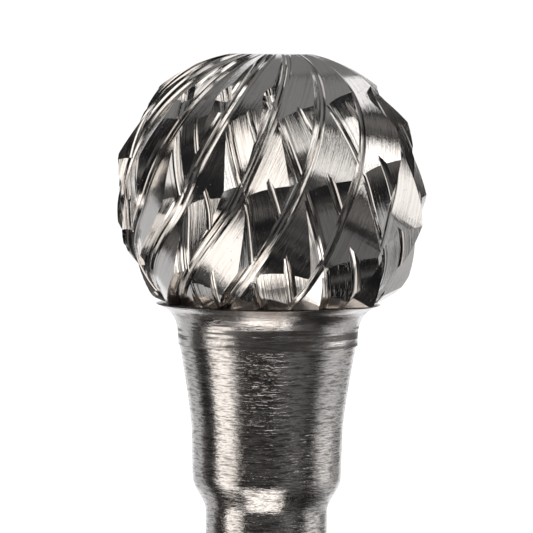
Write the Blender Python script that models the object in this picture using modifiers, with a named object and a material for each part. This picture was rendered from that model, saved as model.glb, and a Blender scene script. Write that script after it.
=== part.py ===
"""Ball-shaped carbide burr for a die grinder: a double-cut carbide head brazed to a steel shank.

Metres, +Z up. The origin is the centre of the shank's free end, and the head is at the top.
Azimuth 0 faces -Y and azimuths grow towards +X; latitudes are measured from the ball's centre.
"""

from math import asin, asinh, cos, log, pi, radians, sin, sqrt, tan

import bmesh
import bpy
from mathutils import Vector

# Driving dimensions. Each can be changed by itself.
SHANK_DIAMETER = 0.0060
SHANK_LENGTH = 0.0460
SHANK_END_CHAMFER = 0.0004
COLLAR_DIAMETER = 0.00748
COLLAR_LENGTH = 0.0028
COLLAR_DRAFT = 0.00007
COLLAR_EDGE_CHAMFER = 0.0003
STEP_HEIGHT = 0.0010
STEP_FILLET = 0.0008
NECK_DIAMETER = 0.0087
NECK_TOP_LENGTH = 0.0014
NECK_TAPER_LENGTH = 0.0040
NECK_TAPER_EASE = 0.15

# The blank is a little bigger than the finished head: fluting takes its teeth down to about 15.6 mm.
BLANK_DIAMETER = 0.01604
HEAD_CENTRE_HEIGHT = 0.00531
HEAD_BASE_CHAMFER = 0.0001
CROWN_FLATTENING = 0.00106

MAIN_FLUTES = 16
MAIN_DEPTH = 0.00092
MAIN_RELIEF_WIDTH = 0.00245
MAIN_RAKE_WIDTH = 0.00050
MAIN_PHASE = radians(-13.5)
MAIN_HELIX = 0.48
MAIN_HELIX_EASE = 0.30
MAIN_TOP_LATITUDE = radians(84)
MAIN_RUN_OUT = radians(4)
MAIN_PITCH_OFFSETS = (0.0,)

CROSS_FLUTES = 13
CROSS_DEPTH = 0.00082
CROSS_RELIEF_WIDTH = 0.00255
CROSS_RAKE_WIDTH = 0.00085
CROSS_PHASE = radians(-8.0)
CROSS_HELIX = -0.32
CROSS_HELIX_EASE = 0.0
CROSS_TOP_LATITUDE = radians(55)
CROSS_RUN_OUT = radians(15)
# Uneven spacing, in degrees, which keeps the burr from chattering.
CROSS_PITCH_OFFSETS = (-1.3, -5.5, -5.5, 0.6, -3.7, -2.2, -1.7, -0.7, -3.2, 1.5, 0.4, -6.4, 1.1)

# Towards the neck each flute leans away from this azimuth, in proportion to its latitude.
NECK_DRIFT = 0.85
DRIFT_AZIMUTH = radians(12)
DRIFT_ONSET = 0.15

SHIM_THICKNESS = 0.0003
BRAZE_THICKNESS = 0.0001
FILLET_REACH = 0.0008
FILLET_FLARE = 0.0003
FILLET_CURVE = 3.2
FILLET_FLARE_CURVE = 14
FILLET_LENGTH = 0.0020
FILLET_LIP = 0.00003

LAYER_GAP = 0.00005
CUTTER_OVERLAP = 0.00025
CUTTER_ROOF = 0.001
SLIVER_LIMIT = 0.000002
TURN_MERGE = 0.000001
CUTTER_BELOW_BASE = radians(9)
SLOPE_STEP = radians(0.06)
MAIN_STATIONS = 17
CROSS_STATIONS = 12
TURNED_STEPS = 48
BALL_STEPS = 18
TAPER_STEPS = 6
FILLET_STEPS = 10
FILLET_STEP_GROWTH = 1.5

# Places that follow from them.
HEAD_RADIUS = BLANK_DIAMETER / 2
SHANK_RADIUS = SHANK_DIAMETER / 2
COLLAR_RADIUS = COLLAR_DIAMETER / 2
NECK_RADIUS = NECK_DIAMETER / 2
LOWER_BRAZE_Z = SHANK_LENGTH + LAYER_GAP
SHIM_Z = LOWER_BRAZE_Z + BRAZE_THICKNESS + LAYER_GAP
UPPER_BRAZE_Z = SHIM_Z + SHIM_THICKNESS + LAYER_GAP
HEAD_BASE_Z = UPPER_BRAZE_Z + BRAZE_THICKNESS + LAYER_GAP
HEAD_CENTRE = Vector((0, 0, HEAD_BASE_Z + HEAD_CENTRE_HEIGHT))
HEAD_BASE_RADIUS = sqrt(HEAD_RADIUS**2 - HEAD_CENTRE_HEIGHT**2)


def clear_scene():
    for obj in list(bpy.data.objects):
        bpy.data.objects.remove(obj)


def make_collection(name):
    collection = bpy.data.collections.new(name)
    bpy.context.scene.collection.children.link(collection)
    return collection


def make_material(name, colour, roughness, metallic):
    material = bpy.data.materials.new(name)
    material.use_nodes = True
    shader = material.node_tree.nodes["Principled BSDF"]
    shader.inputs["Base Color"].default_value = (*colour, 1)
    shader.inputs["Roughness"].default_value = roughness
    shader.inputs["Metallic"].default_value = metallic
    return material


def shade_round(mesh):
    mesh.shade_smooth()
    mesh.set_sharp_from_angle(angle=radians(30))


def arc(centre, radius, start, end, steps):
    """Points (radius from the axis, height) on a circular arc, both ends included."""
    points = []
    for step in range(steps + 1):
        angle = start + (end - start) * step / steps
        points.append((centre[0] + radius * cos(angle), centre[1] + radius * sin(angle)))
    return points


def blend(start, end, steps, shape):
    """Points from start to end, with shape(t) giving how far the radius has gone at t of the height."""
    points = []
    for step in range(steps + 1):
        t = step / steps
        points.append((start[0] + (end[0] - start[0]) * shape(t), start[1] + (end[1] - start[1]) * t))
    return points


def turned(name, profile, collection, material, closed=False):
    """A turned piece: a profile at +X, listed from the top down its outer side, swept round Z."""
    mesh = bpy.data.meshes.new(name)
    edges = [(i, i + 1) for i in range(len(profile) - 1)]
    if closed:
        edges.append((len(profile) - 1, 0))
    mesh.from_pydata([(radius, 0, height) for radius, height in profile], edges, [])
    obj = bpy.data.objects.new(name, mesh)
    collection.objects.link(obj)
    mesh.materials.append(material)
    screw = obj.modifiers.new("turn", "SCREW")
    screw.steps = TURNED_STEPS
    screw.render_steps = TURNED_STEPS
    screw.use_merge_vertices = True
    screw.merge_threshold = TURN_MERGE
    return obj


def disc(name, bottom, thickness, radius, collection, material):
    top = bottom + thickness
    return turned(name, [(0, top), (radius, top), (radius, bottom), (0, bottom)], collection, material)


def shank_profile():
    """Outline of the steel shank: brazed end, tapered neck, collar, step and gripped length."""
    taper_top = SHANK_LENGTH - NECK_TOP_LENGTH
    taper_bottom = taper_top - NECK_TAPER_LENGTH
    collar_bottom = taper_bottom - COLLAR_LENGTH
    step_bottom = collar_bottom - STEP_HEIGHT
    drop = COLLAR_RADIUS - SHANK_RADIUS
    fillet = min(STEP_FILLET, STEP_HEIGHT / 2, drop)
    points = [(0, SHANK_LENGTH), (NECK_RADIUS, SHANK_LENGTH)]
    ease = NECK_TAPER_EASE
    points += blend((NECK_RADIUS, taper_top), (COLLAR_RADIUS, taper_bottom), TAPER_STEPS,
                    lambda t: (1 + ease) * t - ease * t**3)
    collar_end = COLLAR_RADIUS - COLLAR_DRAFT
    points += [
        (collar_end, collar_bottom + COLLAR_EDGE_CHAMFER),
        (collar_end - COLLAR_EDGE_CHAMFER / 2, collar_bottom),
        (SHANK_RADIUS + fillet / 2, step_bottom + fillet / 2),
        (SHANK_RADIUS + fillet / 8, step_bottom),
        (SHANK_RADIUS, step_bottom - fillet / 2),
        (SHANK_RADIUS, SHANK_END_CHAMFER),
        (SHANK_RADIUS - SHANK_END_CHAMFER, 0),
        (0, 0),
    ]
    return points


def make_shank(collection, material):
    return turned("shank", shank_profile(), collection, material)


def make_braze_fillet(collection, material):
    """A ring of braze round the joint: it flares out under the head and thins to a lip on the neck."""
    top = HEAD_BASE_Z - LAYER_GAP
    bore = NECK_RADIUS + LAYER_GAP
    lip = bore + FILLET_LIP
    bottom = top - FILLET_LENGTH
    profile = []
    for step in range(FILLET_STEPS + 1):
        t = (step / FILLET_STEPS) ** FILLET_STEP_GROWTH
        radius = lip + FILLET_REACH * (1 - t) ** FILLET_CURVE + FILLET_FLARE * (1 - t) ** FILLET_FLARE_CURVE
        profile.append((radius, top + (bottom - top) * t))
    profile += [(bore, bottom), (bore, top)]
    return turned("braze_fillet", profile, collection, material, closed=True)


def on_ball(azimuth, latitude):
    return Vector((cos(latitude) * sin(azimuth), -cos(latitude) * cos(azimuth), sin(latitude)))


def smooth_step(value, low, high):
    t = min(1, max(0, (value - low) / (high - low)))
    return t * t * (3 - 2 * t)


def flute_azimuth(start, latitude, helix, ease):
    """Azimuth of a flute at a latitude: its helix, which may ease upwards, and its drift at the neck."""
    azimuth = start + helix * asinh(tan(latitude)) + ease * log(cos(latitude))
    if latitude < 0:
        below = sqrt(latitude**2 + DRIFT_ONSET**2) - DRIFT_ONSET
        azimuth += NECK_DRIFT * below * sin(start - DRIFT_AZIMUTH)
    return azimuth


def flute_cutter(name, azimuth_at, latitudes, run_out, depth, relief, rake, collection):
    """A V-shaped prism that follows one flute: a wide relief wall on its right, a steep rake on its left.
    It rises out of the ball over its run-out, so the flute ends in a point."""
    cutter = bmesh.new()
    outer = HEAD_RADIUS + CUTTER_OVERLAP
    grow = (depth + CUTTER_OVERLAP) / depth
    rings = []
    for latitude in latitudes:
        normal = on_ball(azimuth_at(latitude), latitude)
        above = on_ball(azimuth_at(latitude + SLOPE_STEP), latitude + SLOPE_STEP)
        right = (above - normal).normalized().cross(normal)
        lift = smooth_step(latitude, latitudes[-1] - run_out, latitudes[-1]) * (depth + CUTTER_OVERLAP)
        corners = [
            (0, HEAD_RADIUS - depth),
            (relief * grow / HEAD_RADIUS, outer),
            (0, outer + CUTTER_ROOF),
            (-rake * grow / HEAD_RADIUS, outer),
        ]
        ring = []
        for angle, radius in corners:
            place = (radius + lift) * (normal * cos(angle) + right * sin(angle))
            ring.append(cutter.verts.new(HEAD_CENTRE + place))
        rings.append(ring)
    for low, high in zip(rings, rings[1:]):
        for side in range(len(corners)):
            after = (side + 1) % len(corners)
            cutter.faces.new((low[side], low[after], high[after], high[side]))
    cutter.faces.new(rings[0])
    cutter.faces.new(rings[-1])
    bmesh.ops.recalc_face_normals(cutter, faces=cutter.faces)
    mesh = bpy.data.meshes.new(name)
    cutter.to_mesh(mesh)
    cutter.free()
    obj = bpy.data.objects.new(name, mesh)
    collection.objects.link(obj)
    obj.hide_render = True
    obj.display_type = "WIRE"
    return obj


def spread(start, end, count):
    return [start + (end - start) * i / (count - 1) for i in range(count)]


def flute_family(name, count, phase, offsets, helix, ease, top, stations, run_out, walls, collection):
    """The cutters of one family of flutes, spaced round the ball with each one's own offset."""
    below_base = -asin(HEAD_CENTRE_HEIGHT / HEAD_RADIUS) - CUTTER_BELOW_BASE
    latitudes = spread(below_base, top, stations)
    cutters = []
    for k in range(count):
        start = phase + 2 * pi * k / count + radians(offsets[k % len(offsets)])

        def azimuth_at(latitude, start=start):
            return flute_azimuth(start, latitude, helix, ease)

        cutters.append(flute_cutter(f"{name}_{k + 1}", azimuth_at, latitudes, run_out, *walls, collection))
    return cutters


def flute_cutters(collection):
    main_walls = (MAIN_DEPTH, MAIN_RELIEF_WIDTH, MAIN_RAKE_WIDTH)
    cross_walls = (CROSS_DEPTH, CROSS_RELIEF_WIDTH, CROSS_RAKE_WIDTH)
    return flute_family(
        "main_flute", MAIN_FLUTES, MAIN_PHASE, MAIN_PITCH_OFFSETS, MAIN_HELIX, MAIN_HELIX_EASE,
        MAIN_TOP_LATITUDE, MAIN_STATIONS, MAIN_RUN_OUT, main_walls, collection,
    ) + flute_family(
        "cross_flute", CROSS_FLUTES, CROSS_PHASE, CROSS_PITCH_OFFSETS, CROSS_HELIX, CROSS_HELIX_EASE,
        CROSS_TOP_LATITUDE, CROSS_STATIONS, CROSS_RUN_OUT, cross_walls, collection,
    )


def make_cutting_head(collection, cutter_collection, material):
    """The carbide ball, cut off flat at its base, with both families of flutes cut into it."""
    crown_angle = asin((HEAD_RADIUS - CROWN_FLATTENING) / HEAD_RADIUS)
    base_angle = -asin(HEAD_CENTRE_HEIGHT / HEAD_RADIUS)
    profile = [(0, HEAD_CENTRE.z + HEAD_RADIUS - CROWN_FLATTENING)]
    profile += arc((0, HEAD_CENTRE.z), HEAD_RADIUS, crown_angle, base_angle, BALL_STEPS)
    profile.append((HEAD_BASE_RADIUS - HEAD_BASE_CHAMFER, HEAD_BASE_Z))
    profile.append((0, HEAD_BASE_Z))
    head = turned("cutting_head", profile, collection, material)
    for cutter in flute_cutters(cutter_collection):
        cut = head.modifiers.new(cutter.name, "BOOLEAN")
        cut.operation = "DIFFERENCE"
        cut.solver = "EXACT"
        cut.use_self = True
        cut.object = cutter
    weld = head.modifiers.new("merge_slivers", "WELD")
    weld.merge_threshold = SLIVER_LIMIT
    return head


def main():
    clear_scene()
    parts = make_collection("ball_burr")
    cutters = make_collection("cutters")
    carbide = make_material("ground_carbide", (0.62, 0.60, 0.57), 0.22, 1.0)
    steel = make_material("turned_steel", (0.56, 0.55, 0.53), 0.34, 1.0)
    braze = make_material("silver_braze", (0.60, 0.54, 0.50), 0.40, 1.0)
    copper = make_material("copper", (0.80, 0.45, 0.30), 0.35, 1.0)
    make_cutting_head(parts, cutters, carbide)
    disc("braze_film_head_side", UPPER_BRAZE_Z, BRAZE_THICKNESS, NECK_RADIUS, parts, braze)
    disc("copper_shim", SHIM_Z, SHIM_THICKNESS, NECK_RADIUS, parts, copper)
    disc("braze_film_shank_side", LOWER_BRAZE_Z, BRAZE_THICKNESS, NECK_RADIUS, parts, braze)
    make_braze_fillet(parts, braze)
    make_shank(parts, steel)


main()
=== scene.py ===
"""Looks of a ball-shaped carbide burr: fluted head, brazed joint and turned steel shank, on white.

Metres, +Z up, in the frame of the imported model. Azimuth 0 faces -Y and grows towards +X.
"""

from math import asin, cos, e, pi, radians, sin

import bmesh
import bpy
from bpy.props import FloatProperty, FloatVectorProperty, IntProperty, PointerProperty
from mathutils import Matrix, Vector


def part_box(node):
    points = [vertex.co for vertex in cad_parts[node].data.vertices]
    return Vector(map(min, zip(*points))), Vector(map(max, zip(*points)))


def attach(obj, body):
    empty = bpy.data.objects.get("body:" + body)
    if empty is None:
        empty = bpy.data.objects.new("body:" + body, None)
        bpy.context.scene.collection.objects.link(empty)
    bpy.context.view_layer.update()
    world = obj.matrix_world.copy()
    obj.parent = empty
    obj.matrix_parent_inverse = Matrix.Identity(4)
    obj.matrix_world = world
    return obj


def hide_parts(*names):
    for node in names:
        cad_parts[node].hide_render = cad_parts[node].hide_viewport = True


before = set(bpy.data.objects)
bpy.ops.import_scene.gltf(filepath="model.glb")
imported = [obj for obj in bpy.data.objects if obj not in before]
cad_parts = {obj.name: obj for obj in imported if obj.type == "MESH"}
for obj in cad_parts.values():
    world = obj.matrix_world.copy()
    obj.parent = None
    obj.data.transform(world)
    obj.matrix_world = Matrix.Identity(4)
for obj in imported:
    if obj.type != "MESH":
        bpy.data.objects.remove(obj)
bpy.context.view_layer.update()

bl_info = {
    "name": "Ball Burr",
    "version": (1, 0, 0),
    "blender": (4, 5, 0),
    "location": "3D View > Sidebar > Burr",
    "description": "Builds a double-cut ball burr round its packed model",
    "category": "Add Mesh",
}

MM = 0.001
BODY = "root"
HEAD_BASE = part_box("cutting_head")[0].z
SHANK_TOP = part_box("shank")[1].z
FILLET_LOW, FILLET_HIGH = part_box("braze_fillet")
NECK_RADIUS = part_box("copper_shim")[1].x
BALL_CENTRE = HEAD_BASE + 5.31 * MM
BALL_SEGMENTS, BALL_STEPS = 128, 60
# A profile point nearer to the axis than this is on it.
ON_AXIS = 1e-9
# Keeps a rounded angle on its own side of a corner, as a share of the way to the next.
CORNER_NUDGE = 0.001
BASE_CHAMFER = 0.1 * MM
# How far each corner of a root stands off its round, as a share of the radius.
# The grinding wheel leaves steps, so the corners are uneven.
ROOT_STEPS = (0.0, -0.07, 0.04, -0.08, 0.05, -0.04, 0.0)
ROOT_CORNERS = len(ROOT_STEPS)
WALL_CREASE = radians(7)
ROOT_CREASE = radians(9)
WALLS = {"main_relief": 1, "main_rake": 2, "cross_relief": 3, "cross_rake": 4, "root": 5,
         "breaker_relief": 6, "breaker_rake": 7}
# Each family of cuts: how many stations its cutters have along the ball, and its two walls.
FAMILIES = {
    "Main": (64, ("main_relief", "main_rake")),
    "Cross": (44, ("cross_relief", "cross_rake")),
    "Breaker": (40, ("breaker_relief", "breaker_rake")),
}
# Inputs of the fluting tree that the panel leaves alone.
FIXED_SIZES = {
    "Ball Centre Height": BALL_CENTRE,
    "Main Root Radius": 0.55 * MM,
    "Main Highest Latitude": radians(84),
    "Main Run-out": radians(4),
    "Main Pitch Error": radians(0.7),
    "Cross Root Radius": 0.48 * MM,
    "Cross Helix Ease": 0.0,
    "Cross Highest Latitude": radians(55),
    "Cross Run-out": radians(15),
    "Cross Pitch Error": radians(7),
    "Breaker Depth": 0.88 * MM,
    "Breaker Relief Width": 0.52 * MM,
    "Breaker Rake Width": 0.40 * MM,
    "Breaker Root Radius": 0.20 * MM,
    "Breaker Helix Ease": 0.0,
    "Breaker Highest Latitude": radians(58),
    "Breaker Run-out": radians(20),
    "Breaker Pitch Error": radians(7),
    "Lowest Latitude": radians(-52),
    "Cutter Overlap": 0.25 * MM,
    "Cutter Roof": 1.0 * MM,
    "Neck Drift": 0.85,
    "Drift Azimuth": radians(12),
    "Drift Onset": 0.15,
    "Seed": 348,
}
# How far a chip breaker lies from its cross flute.
BREAKER_OFFSET = radians(11)
# Shift of the grinding pattern from one flute to the next, in millimetres.
GRAIN_SHIFT = 7.3
# Across a flute, in millimetres: the middle of its root, and how far from it the deep scoring and
# the painted shade beside the root fade.
ROOT_MIDDLE, SCORING_AND_SHADE_FADE = 0.05, (0.30, 0.75)

TURNED_SEGMENTS = 192
NECK_LENGTH, TAPER_LENGTH, COLLAR_LENGTH, STEP_LENGTH = 1.4 * MM, 4.0 * MM, 2.8 * MM, 1.0 * MM
TAPER_STEPS, COLLAR_STEPS, STEP_STEPS, SHANK_STEPS = 40, 28, 30, 20
TAPER_BOW = 0.15
COLLAR_RADIUS, COLLAR_TAPER = 3.74 * MM, 0.07 * MM
# The soft curve of the step reaches past it, upwards and downwards.
STEP_LEAD, STEP_TAIL = 0.3 * MM, 0.4 * MM
# Extra rings under the step keep its shading off the plain shank.
RINGED_LENGTH = 4.0 * MM
END_CHAMFER = 0.4 * MM
SHANK_CREASE, BRAZE_CREASE = radians(30), radians(40)

# Radius, in millimetres, at which round marks have their stated number in a millimetre.
MARKED_RADIUS = 4.0

LAYER_GAP = 0.05 * MM
LIP_THICKNESS = 0.03 * MM
FILLET_STEPS, FILLET_SPACING = 60, 1.5
# The braze ring's outline is a skirt with a thin flared edge. Each is a share of the flare and the
# power of its curve.
FILLET_SKIRT, FILLET_EDGE = (0.73, 3.2), (0.27, 14)
# Scorched band along the ring's lower edge, in millimetres above it.
SCORCH_SOLID, SCORCH_END = 0.7, 1.3
SCORCHED = (0.06, 0.052, 0.048, 1)

CARD_COLUMNS, CARD_ROWS = 16, 12
CARD_DISTANCE = 0.6
FLOOR_RADIUS, FLOOR_THICKNESS, FLOOR_SEGMENTS = 2.0, 0.002, 96
PAPER_DARK, PAPER_LIGHT = (0.86, 0.86, 0.86, 1), (0.9, 0.9, 0.9, 1)
BACKDROP, DAYLIGHT = (1.02, 1.02, 1.02, 1), (1.35, 1.35, 1.35, 1)
ROOM_DARK, ROOM_LIGHT = (0.008, 0.008, 0.009, 1), (0.19, 0.184, 0.178, 1)
# The view's centre lies below the ball's centre and to its left, and the camera leans a little.
VIEW_DROP, VIEW_SHIFT, CAMERA_ROLL = 3.51 * MM, 0.10 * MM, radians(0.5)
SENSOR_WIDTH = 36
NEAR_CLIP = 0.01


# ---------------------------------------------------------------- node trees

class Value:
    """A number socket of a node tree, so that node maths reads as a Python expression."""

    def __init__(self, graph, socket):
        self.graph = graph
        self.socket = socket

    def __add__(self, other):
        return self.graph.math("ADD", self, other)

    def __sub__(self, other):
        return self.graph.math("SUBTRACT", self, other)

    def __rsub__(self, other):
        return self.graph.math("SUBTRACT", other, self)

    def __mul__(self, other):
        return self.graph.math("MULTIPLY", self, other)

    def __truediv__(self, other):
        return self.graph.math("DIVIDE", self, other)

    def __rtruediv__(self, other):
        return self.graph.math("DIVIDE", other, self)

    def __neg__(self):
        return self.graph.math("MULTIPLY", self, -1)

    __radd__ = __add__


class Graph:
    """Adds nodes to one tree. Every node comes from add, settings first and sockets after."""

    def __init__(self, tree):
        self.tree = tree

    def add(self, kind, settings=None, inputs=None):
        node = self.tree.nodes.new(kind)
        for name, value in (settings or {}).items():
            setattr(node, name, value)
        for key, value in (inputs or {}).items():
            self.feed(self.find(node.inputs, key), value)
        return node

    @staticmethod
    def find(sockets, key):
        if isinstance(key, int):
            return sockets[key]
        return next(socket for socket in sockets if socket.enabled and socket.name == key)

    def feed(self, socket, value):
        if isinstance(value, Value):
            self.tree.links.new(value.socket, socket)
        else:
            socket.default_value = value

    def out(self, node, key=None):
        if key is None:
            return Value(self, next(socket for socket in node.outputs if socket.enabled))
        return Value(self, self.find(node.outputs, key))

    def math(self, operation, first, second=None, clamp=False):
        inputs = {0: first}
        if second is not None:
            inputs[1] = second
        settings = {"operation": operation, "use_clamp": clamp}
        return self.out(self.add("ShaderNodeMath", settings, inputs))

    def sine(self, value):
        return self.math("SINE", value)

    def cosine(self, value):
        return self.math("COSINE", value)

    def clamp(self, value):
        return self.math("ADD", value, 0.0, clamp=True)

    def smooth(self, value, low, high):
        """0 below low, 1 above high, with a soft start and end."""
        return self.out(self.add("ShaderNodeMapRange", {"interpolation_type": "SMOOTHSTEP"},
                                 {"Value": value, "From Min": low, "From Max": high}))

    def vector(self, operation, first, second):
        name = "Scale" if operation == "SCALE" else 1
        inputs = {0: first, name: second}
        return self.out(self.add("ShaderNodeVectorMath", {"operation": operation}, inputs))

    def combine(self, x, y, z):
        return self.out(self.add("ShaderNodeCombineXYZ", None, {"X": x, "Y": y, "Z": z}))

    def separate(self, vector):
        node = self.add("ShaderNodeSeparateXYZ", None, {0: vector})
        return [self.out(node, axis) for axis in "XYZ"]

    def mix(self, first, second, factor):
        inputs = {"Factor": factor, "A": first, "B": second}
        return self.out(self.add("ShaderNodeMix", {"data_type": "RGBA"}, inputs))

    def noise(self, vector, scale=1.0, detail=2.0, roughness=0.5, distortion=0.0):
        return self.out(self.add("ShaderNodeTexNoise", None, {
            "Vector": vector, "Scale": scale, "Detail": detail, "Roughness": roughness,
            "Distortion": distortion}), "Fac")

    def store(self, name, kind, domain, geometry, value):
        """The geometry with value kept on it as a named attribute."""
        settings = {"data_type": kind, "domain": domain}
        inputs = {"Geometry": geometry, "Name": name, "Value": value}
        return self.out(self.add("GeometryNodeStoreNamedAttribute", settings, inputs))


def new_tree(name):
    """A Geometry Nodes tree that takes a geometry first and gives one back."""
    tree = bpy.data.node_groups.new(name, "GeometryNodeTree")
    tree.interface.new_socket("Geometry", in_out="INPUT", socket_type="NodeSocketGeometry")
    tree.interface.new_socket("Geometry", in_out="OUTPUT", socket_type="NodeSocketGeometry")
    return tree


def add_inputs(tree, sizes):
    """One named input for each size: whole numbers for counts, floats for the rest."""
    for name, value in sizes.items():
        kind = "NodeSocketInt" if isinstance(value, int) else "NodeSocketFloat"
        tree.interface.new_socket(name, in_out="INPUT", socket_type=kind)


def apply_tree(obj, tree, sizes):
    """Runs the tree on obj as a modifier, and leaves obj with the plain mesh that it makes."""
    modifier = obj.modifiers.new(tree.name, "NODES")
    modifier.node_group = tree
    for item in tree.interface.items_tree:
        if item.item_type == "SOCKET" and item.in_out == "INPUT" and item.name in sizes:
            modifier[item.identifier] = sizes[item.name]
    graph = bpy.context.evaluated_depsgraph_get()
    mesh = bpy.data.meshes.new_from_object(obj.evaluated_get(graph))
    obj.modifiers.remove(modifier)
    old = obj.data
    obj.data = mesh
    bpy.data.meshes.remove(old)
    mesh.name = obj.name


# ---------------------------------------------------------------- turned pieces

def arc(centre, radius, start, end, steps):
    """Points (radius, height) on a circular arc, both ends included."""
    angles = [start + (end - start) * step / steps for step in range(steps + 1)]
    return [(centre[0] + radius * cos(a), centre[1] + radius * sin(a)) for a in angles]


def turned_mesh(name, profile, segments, closed=False):
    """A body turned round Z from a profile listed top to bottom down its outer side.
    An open profile starts and ends on the axis; a closed one is a ring's cross-section."""
    work = bmesh.new()
    rings = []
    for radius, height in profile:
        if radius < ON_AXIS:
            rings.append([work.verts.new((0, 0, height))])
            continue
        ring = []
        for k in range(segments):
            angle = 2 * pi * k / segments
            ring.append(work.verts.new((radius * cos(angle), radius * sin(angle), height)))
        rings.append(ring)
    pairs = list(zip(rings, rings[1:]))
    if closed:
        pairs.append((rings[-1], rings[0]))
    for upper, lower in pairs:
        for k in range(segments):
            after = (k + 1) % segments
            if len(upper) == 1:
                work.faces.new((upper[0], lower[k], lower[after]))
            elif len(lower) == 1:
                work.faces.new((upper[k], lower[0], upper[after]))
            else:
                work.faces.new((upper[k], lower[k], lower[after], upper[after]))
    mesh = bpy.data.meshes.new(name)
    work.to_mesh(mesh)
    work.free()
    return mesh


def place_piece(name, mesh, material, replaced):
    """Links a finished piece, gives it its material and tells the frame what it is."""
    obj = bpy.data.objects.new(name, mesh)
    bpy.context.scene.collection.objects.link(obj)
    mesh.materials.append(material)
    declare(obj, replaced)


def declare(obj, replaced):
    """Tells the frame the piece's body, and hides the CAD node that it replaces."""
    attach(obj, BODY)
    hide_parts(replaced)


# ---------------------------------------------------------------- the fluted head

def flute_azimuth(g, pin, family, latitude, flute):
    """Azimuth of one flute at a latitude, from its even place, its own small error, its helix and,
    below the equator, its drift towards the neck."""
    start = pin[family + " Phase"] + flute * (2 * pi) / pin[family + " Flutes"]
    error = g.out(g.add("FunctionNodeRandomValue", {"data_type": "FLOAT"}, {
        "Min": -1.0, "Max": 1.0, "ID": flute, "Seed": pin["Seed"]}))
    start = start + error * pin[family + " Pitch Error"]
    tangent = g.math("TANGENT", latitude)
    loxodrome = g.math("LOGARITHM", tangent + g.math("SQRT", tangent * tangent + 1), e)
    eased = g.math("LOGARITHM", g.cosine(latitude), e)
    helix = pin[family + " Helix"] * loxodrome + pin[family + " Helix Ease"] * eased
    onset = pin["Drift Onset"]
    below = g.math("SQRT", latitude * latitude + onset * onset) - onset
    side = g.sine(start - pin["Drift Azimuth"])
    drift = pin["Neck Drift"] * below * side * g.math("LESS_THAN", latitude, 0.0)
    return start + helix + drift


def choose(g, kind, place, values):
    """The value whose number is place, out of a list."""
    switch = g.add("GeometryNodeIndexSwitch", {"data_type": kind})
    while len(switch.index_switch_items) < len(values):
        switch.index_switch_items.new()
    g.feed(g.find(switch.inputs, "Index"), place)
    for number, value in enumerate(values):
        g.feed(g.find(switch.inputs, str(number)), value)
    return g.out(switch)


def cutter_section(g, pin, family, place):
    """Sideways distance and height of each corner of a flute's cutter, by the corner's number.
    The relief wall and the rake wall meet in a root rounded to Root Radius, tangent to both."""
    depth = pin[family + " Depth"]
    top = depth + pin["Cutter Overlap"]
    grow = top / depth
    relief_run = pin[family + " Relief Width"] * grow
    rake_run = pin[family + " Rake Width"] * grow
    relief_angle = g.math("ARCTAN2", top, relief_run)
    rake_angle = g.math("ARCTAN2", top, rake_run)
    radius = pin[family + " Root Radius"]
    tangent = radius * g.math("TANGENT", (relief_angle + rake_angle) * 0.5)
    centre_side = tangent * g.cosine(relief_angle) - radius * g.sine(relief_angle)
    centre_height = tangent * g.sine(relief_angle) + radius * g.cosine(relief_angle)
    sideways = [-rake_run, 0.0, relief_run]
    heights = [top, top + pin["Cutter Roof"], top]
    for k, step in enumerate(ROOT_STEPS):
        share = k / (ROOT_CORNERS - 1)
        lean = relief_angle * (1 - share) - rake_angle * share
        reach = radius * (1 + step)
        sideways.append(centre_side + reach * g.sine(lean))
        heights.append(centre_height - reach * g.cosine(lean))
    return choose(g, "FLOAT", place, sideways), choose(g, "FLOAT", place, heights)


def flute_cutters(g, pin, family):
    """All cutters of one family of flutes: a bar for each, bent along its helix on the ball."""
    stations, (relief, rake) = FAMILIES[family]
    corners = 3 + ROOT_CORNERS
    bar = g.add("GeometryNodeMeshCylinder", {"fill_type": "NGON"}, {
        "Vertices": corners, "Side Segments": stations, "Radius": 1.0, "Depth": 1.0})
    points = g.add("GeometryNodeMeshLine", None, {"Count": pin[family + " Flutes"]})
    copies = g.add("GeometryNodeInstanceOnPoints", None, {
        "Points": g.out(points), "Instance": g.out(bar, "Mesh")})
    index = g.out(g.add("GeometryNodeInputIndex"))
    numbered = g.store("flute", "INT", "INSTANCE", g.out(copies), index)
    still = g.add("GeometryNodeRealizeInstances", None, {"Geometry": numbered})
    named = g.add("GeometryNodeInputNamedAttribute", {"data_type": "INT"}, {"Name": "flute"})
    flute = g.out(named, "Attribute")
    step = 2 * pi / corners
    # The bars stand in a row on Z, one metre apart, and progress takes each one's own height off.
    x, y, z = g.separate(g.out(g.add("GeometryNodeInputPosition")))
    turn = g.math("ARCTAN2", y, x) / step
    turns = g.math("FLOORED_MODULO", turn + CORNER_NUDGE, float(corners))
    nearest = g.math("FLOOR", turns + (0.5 - CORNER_NUDGE))
    corner = g.math("FLOORED_MODULO", nearest, float(corners))
    names = ["root", "root", relief] + ["root"] * (ROOT_CORNERS - 1) + [rake]
    wall = choose(g, "INT", g.math("FLOOR", turns), [WALLS[name] for name in names])
    walled = g.store("wall", "INT", "FACE", g.out(still), wall)
    progress = z + 0.5 - flute
    span = pin[family + " Highest Latitude"] - pin["Lowest Latitude"]
    latitude = pin["Lowest Latitude"] + progress * span
    azimuth = flute_azimuth(g, pin, family, latitude, flute)
    sideways, height = cutter_section(g, pin, family, corner)
    along = latitude * pin["Ball Radius"] / MM
    grain = g.combine(along + flute * GRAIN_SHIFT, sideways / MM, 0.0)
    grained = g.store("grain", "FLOAT2", "CORNER", walled, grain)
    position = on_ball(g, pin, family, azimuth, latitude, sideways, height)
    bent = g.add("GeometryNodeSetPosition", None, {"Geometry": grained, "Position": position})
    return g.out(bent)


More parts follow.
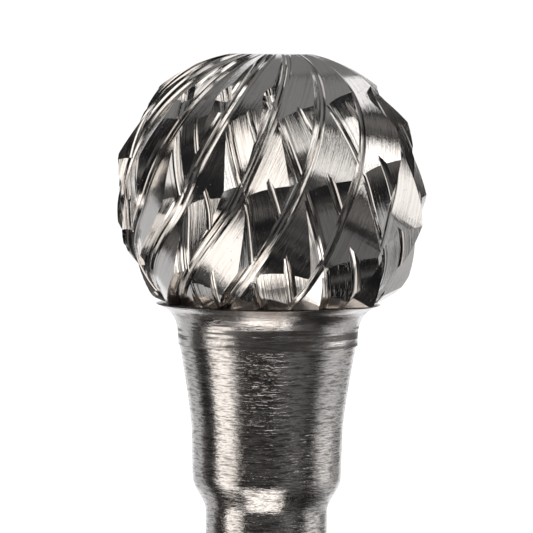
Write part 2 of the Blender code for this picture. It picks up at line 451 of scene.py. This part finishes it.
def on_ball(g, pin, family, azimuth, latitude, sideways, height):
    """A point beside a flute: sideways along the ball, square to the flute, and height over its
    root. The flute grows shallow over its run-out and leaves the ball at its highest latitude."""
    highest = pin[family + " Highest Latitude"]
    run_out = g.smooth(latitude, highest - pin[family + " Run-out"], highest)
    height = height + run_out * (pin[family + " Depth"] + pin["Cutter Overlap"])
    slope = pin[family + " Helix"] - pin[family + " Helix Ease"] * g.sine(latitude)
    length = g.math("SQRT", slope * slope + 1)
    east_share = 1 / length
    north_share = -slope / length
    sin_a, cos_a = g.sine(azimuth), g.cosine(azimuth)
    sin_l, cos_l = g.sine(latitude), g.cosine(latitude)
    outward = (cos_l * sin_a, -(cos_l * cos_a), sin_l)
    east = (cos_a, sin_a, 0.0)
    north = (-(sin_l * sin_a), sin_l * cos_a, cos_l)
    angle = sideways / pin["Ball Radius"]
    radius = pin["Ball Radius"] - pin[family + " Depth"] + height
    out_share, side_share = radius * g.cosine(angle), radius * g.sine(angle)
    place = []
    for axis in range(3):
        right = east_share * east[axis] + north_share * north[axis]
        place.append(outward[axis] * out_share + right * side_share)
    return g.combine(place[0], place[1], place[2] + pin["Ball Centre Height"])


def flute_tree(sizes, material):
    """Cuts both families of flutes, and the narrow chip breakers between the cross flutes, out of a
    plain ball."""
    tree = new_tree("cut_flutes")
    add_inputs(tree, sizes)
    g = Graph(tree)
    inlet = g.add("NodeGroupInput")
    pin = {name: g.out(inlet, name) for name in sizes}
    cutters = [flute_cutters(g, pin, family) for family in FAMILIES]
    cut = g.add("GeometryNodeMeshBoolean", {"operation": "DIFFERENCE", "solver": "EXACT"}, {
        "Mesh 1": g.out(inlet, "Geometry"), "Self Intersection": True})
    for cutter in cutters:
        g.feed(g.find(cut.inputs, "Mesh 2"), cutter)
    still = g.add("GeometryNodeRealizeInstances", None, {"Geometry": g.out(cut, "Mesh")})
    coated = g.add("GeometryNodeSetMaterial", None, {
        "Geometry": g.out(still), "Material": material})
    outlet = g.add("NodeGroupOutput")
    g.feed(outlet.inputs[0], g.out(coated))
    return tree


def mark_creases(mesh):
    """Sharp edges where two walls meet; a root runs smoothly into the walls beside it."""
    walls = [item.value for item in mesh.attributes["wall"].data]
    normals = [polygon.normal for polygon in mesh.polygons]
    sides = {}
    for polygon in mesh.polygons:
        for key in polygon.edge_keys:
            sides.setdefault(key, []).append(polygon.index)
    for edge in mesh.edges:
        first, second = sides[edge.key]
        at_root = WALLS["root"] in (walls[first], walls[second])
        limit = ROOT_CREASE if at_root else WALL_CREASE
        edge.use_edge_sharp = normals[first].angle(normals[second], 0) > limit


def ball_blank(sizes):
    """The ball before fluting: flattened at the crown and cut off flat at its base."""
    radius = sizes["Ball Radius"]
    centre = sizes["Ball Centre Height"]
    base = HEAD_BASE - centre
    crown = radius - sizes["Crown Flattening"]
    profile = [(0, centre + crown)]
    profile += arc((0, centre), radius, asin(crown / radius), asin(base / radius), BALL_STEPS)
    profile += [(profile[-1][0] - BASE_CHAMFER, HEAD_BASE), (0, HEAD_BASE)]
    return turned_mesh("fluted_head", profile, BALL_SEGMENTS)


# ---------------------------------------------------------------- materials

def new_material(name):
    material = bpy.data.materials.new(name)
    material.use_nodes = True
    tree = material.node_tree
    shader = tree.nodes["Principled BSDF"]
    return material, Graph(tree), shader


def shaded(colour, shares):
    """The colour with each channel brought down to its share, as a socket takes it."""
    return (*[channel * share for channel, share in zip(colour, shares)], 1)


def metal_finish(shader, g, colour, roughness, normal):
    """What every metal here sets on its shader."""
    g.feed(shader.inputs["Base Color"], colour)
    g.feed(shader.inputs["Roughness"], roughness)
    shader.inputs["Metallic"].default_value = 1.0
    g.feed(shader.inputs["Normal"], normal)


def object_place(g):
    """Object coordinates in millimetres."""
    coordinates = g.add("ShaderNodeTexCoord")
    return g.vector("SCALE", g.out(coordinates, "Object"), 1 / MM)


def bump(g, height, strength, distance):
    return g.out(g.add("ShaderNodeBump", None, {
        "Height": height, "Strength": strength, "Distance": distance}), "Normal")


def ground_carbide(colour):
    """Bright ground carbide: fine grinding lines along each flute, deeper ones beside its root,
    darkened there with painted shade, and walls that differ a little in tone."""
    material, g, shader = new_material("ground_carbide")
    grain = g.out(g.add("ShaderNodeUVMap", {"uv_map": "grain"}))
    along, across, _ = g.separate(grain)
    wall = g.out(g.add("ShaderNodeAttribute", {"attribute_name": "wall"}), "Fac")
    place = object_place(g)
    fine = g.noise(g.combine(along * 0.6, across * 24.0, wall * 3.1), detail=3.0, roughness=0.6)
    coarse = g.noise(g.combine(along * 0.30, across * 6.5, wall * 5.7),
                     roughness=0.55, distortion=0.3)
    scoring_and_root_shade = g.noise(g.combine(along * 0.10, across * 5.0, wall * 1.3))
    cloud = g.noise(place, scale=0.55)
    ripple = g.noise(place, scale=1.3)
    speck = g.smooth(g.noise(place, scale=5.5, detail=4.0, roughness=0.65), 0.60, 0.74)
    near_root = 1 - g.smooth(g.math("ABSOLUTE", across - ROOT_MIDDLE), *SCORING_AND_SHADE_FADE)
    tone = g.clamp(0.25 + coarse * 0.50 + cloud * 0.30)
    dark = shaded(colour, (0.30, 0.27, 0.25))
    metal = g.mix(shaded(colour, (0.70, 0.65, 0.61)), (*colour, 1), g.smooth(tone, 0.35, 0.7))
    # Painted shade: streaks of the deep scoring beside each flute root are darkened, as shade in
    # the flute's hollow.
    metal = g.mix(metal, dark, g.smooth(scoring_and_root_shade, 0.52, 0.62) * near_root * 0.6)
    metal = g.mix(metal, dark, speck * 0.4)
    roughness = 0.06 + fine * 0.10 + speck * 0.2
    height = fine * 0.26 + coarse * 0.26 + scoring_and_root_shade * near_root * 0.8 + ripple * 0.35
    normal = bump(g, height, strength=0.6, distance=0.03 * MM)
    metal_finish(shader, g, metal, roughness, normal)
    return material


def round_marks(g, place, along, across, detail, distortion):
    """Broken marks that run round the piece: along and across say how many there are in a
    millimetre each way."""
    x, y, z = g.separate(place)
    turn = g.math("ARCTAN2", y, x)
    reach = along * MARKED_RADIUS
    ring = g.combine(g.cosine(turn) * reach, g.sine(turn) * reach, z * across)
    return g.noise(ring, detail=detail, roughness=0.6, distortion=distortion)


def turned_steel(colour):
    """Turned steel: broken tool marks round the piece, torn here and there, and faint stains."""
    material, g, shader = new_material("turned_steel")
    place = object_place(g)
    wide = round_marks(g, place, along=0.55, across=3.2, detail=3.0, distortion=0.35)
    marks = round_marks(g, place, along=1.1, across=9.0, detail=2.0, distortion=0.25)
    fine = round_marks(g, place, along=2.4, across=22.0, detail=2.0, distortion=0.2)
    cloud = g.noise(place, scale=0.35, detail=3.0, roughness=0.6)
    blots = g.noise(place, scale=0.8, detail=4.0, roughness=0.7, distortion=0.6)
    stain = g.smooth(blots, 0.56, 0.74)
    bright = g.smooth(marks * 0.6 + fine * 0.4, 0.36, 0.54)
    metal = g.mix(shaded(colour, (0.36, 0.345, 0.335)), (*colour, 1), bright)
    metal = g.mix(metal, shaded(colour, (0.62, 0.52, 0.44)), stain * 0.5)
    roughness = 0.08 + fine * 0.12 + cloud * 0.1 + stain * 0.12
    height = marks * 0.55 + fine * 0.30 + wide * 0.6
    normal = bump(g, height, strength=0.8, distance=0.052 * MM)
    metal_finish(shader, g, metal, roughness, normal)
    return material


def silver_braze(colour):
    """Braze that froze as it flowed and was then brushed: a soft skin with brown stains, and
    near-black scorching that is thickest along the ring's lower edge."""
    material, g, shader = new_material("silver_braze")
    place = object_place(g)
    flow = g.noise(place, scale=0.7, detail=3.0, roughness=0.55, distortion=0.2)
    skin = g.noise(place, scale=6.0, detail=4.0, roughness=0.6)
    brushed = round_marks(g, place, along=0.9, across=8.0, detail=3.0, distortion=0.2)
    blots = g.noise(place, scale=0.55, detail=4.0, roughness=0.62, distortion=0.9)
    stain = g.smooth(blots, 0.54, 0.72)
    edge = FILLET_LOW.z / MM
    low = 1 - g.smooth(g.separate(place)[2], edge + SCORCH_SOLID, edge + SCORCH_END)
    smudges = round_marks(g, place, along=0.22, across=3.4, detail=4.0, distortion=0.3)
    soot = g.smooth(smudges + low * 0.10, 0.56, 0.66)
    metal = g.mix(shaded(colour, (0.80, 0.775, 0.76)), (*colour, 1), g.smooth(flow, 0.36, 0.62))
    metal = g.mix(metal, shaded(colour, (0.50, 0.42, 0.37)), stain * 0.6)
    metal = g.mix(metal, SCORCHED, soot * 0.75)
    roughness = 0.15 + skin * 0.12 + stain * 0.14 + soot * 0.2
    height = flow * 0.15 + skin * 0.15 + brushed * 0.8
    normal = bump(g, height, strength=0.8, distance=0.05 * MM)
    metal_finish(shader, g, metal, roughness, normal)
    return material


def copper_sheet(colour):
    """Soft rolled copper with a faint dull bloom."""
    material, g, shader = new_material("copper")
    place = object_place(g)
    bloom = g.noise(place, scale=0.9, detail=4.0, roughness=0.6)
    stretched = g.vector("MULTIPLY", place, (0.4, 9.0, 9.0))
    rolled = g.noise(stretched, detail=3.0, roughness=0.6)
    metal = g.mix(shaded(colour, (0.6, 0.5, 0.5)), (*colour, 1), g.smooth(bloom, 0.3, 0.7))
    normal = bump(g, rolled, strength=0.3, distance=0.01 * MM)
    metal_finish(shader, g, metal, 0.25 + rolled * 0.2, normal)
    return material


def stage_paper():
    """Plain white paper for the floor."""
    material, g, shader = new_material("stage_paper")
    fibre = g.noise(object_place(g), scale=0.05, detail=3.0)
    g.feed(shader.inputs["Base Color"], g.mix(PAPER_DARK, PAPER_LIGHT, fibre))
    shader.inputs["Roughness"].default_value = 0.9
    return material


# ---------------------------------------------------------------- sizes and colours

def length_size(name, description, default):
    return FloatProperty(name=name, description=description, default=default, unit="LENGTH",
                         precision=5)


def angle_size(name, description, default):
    return FloatProperty(name=name, description=description, default=default, unit="ROTATION")


def colour_choice(name, description, default):
    return FloatVectorProperty(name=name, description=description, default=default,
                               subtype="COLOR", min=0, max=1)


class BurrHeadSizes(bpy.types.PropertyGroup):
    ball_radius: length_size("Ball radius", "Radius of the ball before fluting", 8.02 * MM)
    crown_flattening: length_size("Crown flattening", "How far the crown is ground down", 1.06 * MM)
    main_flutes: IntProperty(
        name="Main flutes", description="Number of right-hand flutes", default=16)
    main_depth: length_size("Main depth", "Depth of a main flute", 1.02 * MM)
    main_relief: length_size("Main relief", "Width of the gentle wall of a main flute", 2.45 * MM)
    main_rake: length_size("Main rake", "Width of the steep wall of a main flute", 0.60 * MM)
    main_phase: angle_size(
        "Main phase", "Azimuth of the first main flute at the equator", radians(-13.5))
    main_helix: FloatProperty(
        name="Main helix", default=0.48,
        description="Sideways run of a main flute for each unit upwards")
    main_ease: FloatProperty(
        name="Main helix ease", description="How fast the helix straightens upwards", default=0.30)
    cross_flutes: IntProperty(
        name="Cross flutes", description="Number of left-hand flutes", default=13)
    cross_depth: length_size("Cross depth", "Depth of a cross flute", 0.90 * MM)
    cross_relief: length_size(
        "Cross relief", "Width of the gentle wall of a cross flute", 2.55 * MM)
    cross_rake: length_size("Cross rake", "Width of the steep wall of a cross flute", 0.85 * MM)
    cross_phase: angle_size(
        "Cross phase", "Azimuth of the first cross flute at the equator", radians(-8))
    cross_helix: FloatProperty(
        name="Cross helix", default=-0.32,
        description="Sideways run of a cross flute for each unit upwards")
    carbide: colour_choice("Carbide", "Colour of the ground carbide", (0.82, 0.79, 0.76))


class BurrShankSizes(bpy.types.PropertyGroup):
    shank_radius: length_size("Shank radius", "Radius of the gripped length", 3.0 * MM)
    steel: colour_choice("Steel", "Colour of the turned steel", (0.80, 0.765, 0.735))
    braze: colour_choice("Braze", "Colour of the silver braze", (0.88, 0.85, 0.825))
    copper: colour_choice("Copper", "Colour of the shim", (0.80, 0.45, 0.30))


class BurrStageSizes(bpy.types.PropertyGroup):
    camera_distance: length_size(
        "Camera distance", "From the camera to the ball's centre", 200 * MM)
    camera_elevation: angle_size("Camera elevation", "Height angle of the view", radians(2.5))
    view_width: length_size("View width", "Width that the view takes in at the ball", 26.27 * MM)


# ---------------------------------------------------------------- operators

class BURR_OT_fluted_head(bpy.types.Operator):
    """Grind both families of flutes into the carbide ball"""
    bl_idname = "burr.fluted_head"
    bl_label = "Fluted head"

    def execute(self, context):
        sizes = context.scene.burr_head
        tree_sizes = {
            **FIXED_SIZES,
            "Ball Radius": sizes.ball_radius,
            "Crown Flattening": sizes.crown_flattening,
            "Main Flutes": sizes.main_flutes,
            "Main Depth": sizes.main_depth,
            "Main Relief Width": sizes.main_relief,
            "Main Rake Width": sizes.main_rake,
            "Main Phase": sizes.main_phase,
            "Main Helix": sizes.main_helix,
            "Main Helix Ease": sizes.main_ease,
            "Cross Flutes": sizes.cross_flutes,
            "Cross Depth": sizes.cross_depth,
            "Cross Relief Width": sizes.cross_relief,
            "Cross Rake Width": sizes.cross_rake,
            "Cross Phase": sizes.cross_phase,
            "Cross Helix": sizes.cross_helix,
            "Breaker Flutes": sizes.cross_flutes,
            "Breaker Phase": sizes.cross_phase + BREAKER_OFFSET,
            "Breaker Helix": sizes.cross_helix,
        }
        carbide = ground_carbide(sizes.carbide)
        head = bpy.data.objects.new("fluted_head", ball_blank(tree_sizes))
        context.scene.collection.objects.link(head)
        apply_tree(head, flute_tree(tree_sizes, carbide), tree_sizes)
        head.data.shade_smooth()
        mark_creases(head.data)
        declare(head, "cutting_head")
        return {"FINISHED"}


def shank_profile(shank):
    """Fine outline of the steel, through the same places as the CAD shank."""
    taper_top = SHANK_TOP - NECK_LENGTH
    taper_bottom = taper_top - TAPER_LENGTH
    collar_bottom = taper_bottom - COLLAR_LENGTH
    step_bottom = collar_bottom - STEP_LENGTH
    collar_end = COLLAR_RADIUS - COLLAR_TAPER
    points = [(0, SHANK_TOP), (NECK_RADIUS, SHANK_TOP)]
    for k in range(TAPER_STEPS + 1):
        t = k / TAPER_STEPS
        bowed = (1 + TAPER_BOW) * t - TAPER_BOW * t**3
        points.append((NECK_RADIUS + (COLLAR_RADIUS - NECK_RADIUS) * bowed,
                       taper_top - TAPER_LENGTH * t))
    for k in range(1, COLLAR_STEPS + 1):
        t = k / COLLAR_STEPS
        points.append((COLLAR_RADIUS - COLLAR_TAPER * t,
                       taper_bottom - (COLLAR_LENGTH - STEP_LEAD) * t))
    for k in range(1, STEP_STEPS + 1):
        t = k / STEP_STEPS
        soft = t * t * (3 - 2 * t)
        points.append((collar_end + (shank - collar_end) * soft,
                       collar_bottom + STEP_LEAD - (STEP_LEAD + STEP_LENGTH + STEP_TAIL) * t))
    for k in range(1, SHANK_STEPS + 1):
        points.append((shank, step_bottom - STEP_TAIL - RINGED_LENGTH * k / SHANK_STEPS))
    points += [(shank, END_CHAMFER), (shank - END_CHAMFER, 0), (0, 0)]
    return points


def braze_profile():
    """Cross-section of the braze ring, from the top down its flared outside and up its bore."""
    bore = NECK_RADIUS + LAYER_GAP
    top, bottom = FILLET_HIGH.z, FILLET_LOW.z
    lip = bore + LIP_THICKNESS
    flare = FILLET_HIGH.x - lip
    profile = []
    for k in range(FILLET_STEPS + 1):
        t = (k / FILLET_STEPS) ** FILLET_SPACING
        spread = sum(share * (1 - t) ** power for share, power in (FILLET_SKIRT, FILLET_EDGE))
        profile.append((lip + flare * spread, top + (bottom - top) * t))
    return profile + [(bore, bottom), (bore, top)]


class BURR_OT_shank(bpy.types.Operator):
    """Turn the steel shank with its neck, collar and step"""
    bl_idname = "burr.shank"
    bl_label = "Shank"

    def execute(self, context):
        sizes = context.scene.burr_shank
        mesh = turned_mesh("turned_shank", shank_profile(sizes.shank_radius), TURNED_SEGMENTS)
        mesh.shade_smooth()
        mesh.set_sharp_from_angle(angle=SHANK_CREASE)
        place_piece("turned_shank", mesh, turned_steel(sizes.steel), "shank")
        return {"FINISHED"}


class BURR_OT_braze(bpy.types.Operator):
    """Flow the braze fillet round the joint, and finish the layers inside it"""
    bl_idname = "burr.braze"
    bl_label = "Braze"

    def execute(self, context):
        sizes = context.scene.burr_shank
        braze = silver_braze(sizes.braze)
        mesh = turned_mesh("braze_ring", braze_profile(), TURNED_SEGMENTS, closed=True)
        mesh.shade_smooth()
        mesh.set_sharp_from_angle(angle=BRAZE_CREASE)
        place_piece("braze_ring", mesh, braze, "braze_fillet")
        for node, material in (("braze_film_head_side", braze), ("braze_film_shank_side", braze),
                               ("copper_shim", copper_sheet(sizes.copper))):
            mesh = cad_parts[node].data
            mesh.materials.clear()
            mesh.materials.append(material)
        return {"FINISHED"}


def aim(obj, place, target, roll):
    """Puts a camera at place, facing target, and rolls it about its view."""
    facing = (Vector(target) - Vector(place)).to_track_quat("-Z", "Y").to_matrix().to_4x4()
    obj.matrix_world = Matrix.Translation(place) @ facing @ Matrix.Rotation(roll, 4, "Z")


def around(azimuth, elevation, distance, centre):
    """A point at a direction and distance from centre; azimuth 0 is towards the camera."""
    turn, rise = radians(azimuth), radians(elevation)
    direction = Vector((sin(turn) * cos(rise), -cos(turn) * cos(rise), sin(rise)))
    return Vector(centre) + distance * direction


def glowing_card(name, azimuths, elevations, radiance, tint, centre):
    """A curved card that only reflections see: it shapes the metal as a card in a studio does."""
    work = bmesh.new()
    grid = []
    for i in range(CARD_COLUMNS + 1):
        azimuth = azimuths[0] + (azimuths[1] - azimuths[0]) * i / CARD_COLUMNS
        column = []
        for j in range(CARD_ROWS + 1):
            elevation = elevations[0] + (elevations[1] - elevations[0]) * j / CARD_ROWS
            column.append(work.verts.new(around(azimuth, elevation, CARD_DISTANCE, centre)))
        grid.append(column)
    for i in range(CARD_COLUMNS):
        for j in range(CARD_ROWS):
            work.faces.new((grid[i][j], grid[i + 1][j], grid[i + 1][j + 1], grid[i][j + 1]))
    mesh = bpy.data.meshes.new(name)
    work.to_mesh(mesh)
    work.free()
    material, _, shader = new_material(name)
    shader.inputs["Base Color"].default_value = (0, 0, 0, 1)
    shader.inputs["Specular IOR Level"].default_value = 0
    shader.inputs["Emission Color"].default_value = (*tint, 1)
    shader.inputs["Emission Strength"].default_value = radiance
    mesh.materials.append(material)
    obj = bpy.data.objects.new(name, mesh)
    bpy.context.scene.collection.objects.link(obj)
    for ray in ("camera", "diffuse", "shadow", "transmission"):
        setattr(obj, "visible_" + ray, False)
    return obj


WARM, PLAIN, COOL = (1, 0.965, 0.93), (1, 0.99, 0.975), (0.965, 0.975, 1)
# Name, azimuths, elevations, radiance and tint of each card round the burr. Angles are in degrees,
# and azimuth 0 is the camera.
CARDS = (
    ("left_card", (-84, -50), (-46, 6), 1.35, WARM),
    ("upper_left_card", (-60, -32), (16, 56), 1.4, WARM),
    ("upper_middle_card", (-2, 20), (30, 60), 1.0, PLAIN),
    ("upper_right_card", (32, 54), (16, 58), 1.3, PLAIN),
    ("high_right_card", (60, 76), (16, 48), 1.8, PLAIN),
    ("right_card", (84, 118), (-6, 20), 1.15, PLAIN),
    ("far_right_card", (80, 150), (-34, -8), 0.50, COOL),
    ("right_back_card", (112, 152), (40, 60), 1.1, COOL),
    ("left_back_card", (-164, -118), (-40, 4), 0.55, COOL),
    ("back_card", (152, 208), (-60, 30), 1.0, COOL),
    ("high_back_card", (152, 248), (32, 63), 0.20, COOL),
    ("crown_card", (-180, 180), (65, 89), 0.22, COOL),
    ("dim_front_card", (14, 60), (-40, -16), 0.14, COOL),
    ("low_card", (-50, 36), (-72, -47), 1.9, WARM),
    ("under_card", (-180, 180), (-89, -74), 0.85, WARM),
)


class BURR_OT_stage(bpy.types.Operator):
    """Set up the floor, the light, the cards and the camera"""
    bl_idname = "burr.stage"
    bl_label = "Stage"

    def execute(self, context):
        scene = context.scene
        sizes = scene.burr_stage
        centre = Vector((0, 0, BALL_CENTRE))
        self.floor()
        self.world(scene)
        for name, azimuths, elevations, radiance, tint in CARDS:
            glowing_card(name, azimuths, elevations, radiance, tint, centre)
        self.camera(scene, sizes, centre)
        scene.view_settings.view_transform = "Standard"
        return {"FINISHED"}

    @staticmethod
    def floor():
        radius, bottom = FLOOR_RADIUS, -FLOOR_THICKNESS
        profile = [(0, 0), (radius, 0), (radius, bottom), (0, bottom)]
        mesh = turned_mesh("floor", profile, FLOOR_SEGMENTS)
        mesh.materials.append(stage_paper())
        obj = bpy.data.objects.new("floor", mesh)
        bpy.context.scene.collection.objects.link(obj)
        obj.visible_glossy = False

    @staticmethod
    def world(scene):
        """White all round for the eye and for matt surfaces, and dim where metal reflects it."""
        world = bpy.data.worlds.new("studio")
        world.use_nodes = True
        g = Graph(world.node_tree)
        glossy = g.out(g.add("ShaderNodeLightPath"), "Is Glossy Ray")
        matt = g.out(g.add("ShaderNodeLightPath"), "Is Diffuse Ray")
        direction = g.out(g.add("ShaderNodeTexCoord"), "Generated")
        room = g.smooth(g.noise(direction, scale=3.4), 0.46, 0.74)
        dim = g.mix(ROOM_DARK, ROOM_LIGHT, room)
        shade = g.mix(BACKDROP, dim, glossy)
        shade = g.mix(shade, DAYLIGHT, matt)
        g.feed(world.node_tree.nodes["Background"].inputs["Color"], shade)
        scene.world = world

    @staticmethod
    def camera(scene, sizes, centre):
        data = bpy.data.cameras.new("camera")
        camera = bpy.data.objects.new("camera", data)
        scene.collection.objects.link(camera)
        elevation = sizes.camera_elevation
        place = centre + sizes.camera_distance * Vector((0, -cos(elevation), sin(elevation)))
        up = Vector((0, sin(elevation), cos(elevation)))
        target = centre - up * VIEW_DROP - Vector((VIEW_SHIFT, 0, 0))
        aim(camera, place, target, CAMERA_ROLL)
        data.sensor_width = SENSOR_WIDTH
        data.lens = data.sensor_width * sizes.camera_distance / sizes.view_width
        data.clip_start = NEAR_CLIP
        scene.camera = camera


class BURR_PT_panel(bpy.types.Panel):
    """Lists the steps that build the burr"""
    bl_idname = "BURR_PT_panel"
    bl_label = "Ball Burr"
    bl_space_type = "VIEW_3D"
    bl_region_type = "UI"
    bl_category = "Burr"

    def draw(self, context):
        for sizes in (context.scene.burr_head, context.scene.burr_shank, context.scene.burr_stage):
            box = self.layout.box()
            for name in sizes.__annotations__:
                box.prop(sizes, name)
        for step in STEPS:
            self.layout.operator(step.bl_idname)


STEPS = (BURR_OT_fluted_head, BURR_OT_braze, BURR_OT_shank, BURR_OT_stage)
SIZES = {"burr_head": BurrHeadSizes, "burr_shank": BurrShankSizes, "burr_stage": BurrStageSizes}
CLASSES = (*SIZES.values(), *STEPS, BURR_PT_panel)


def register():
    for each in CLASSES:
        bpy.utils.register_class(each)
    for name, sizes in SIZES.items():
        setattr(bpy.types.Scene, name, PointerProperty(type=sizes))


def unregister():
    for name in SIZES:
        delattr(bpy.types.Scene, name)
    for each in reversed(CLASSES):
        bpy.utils.unregister_class(each)


def main():
    register()
    for step in STEPS:
        group, name = step.bl_idname.split(".")
        getattr(getattr(bpy.ops, group), name)()


if __name__ == "__main__":
    main()
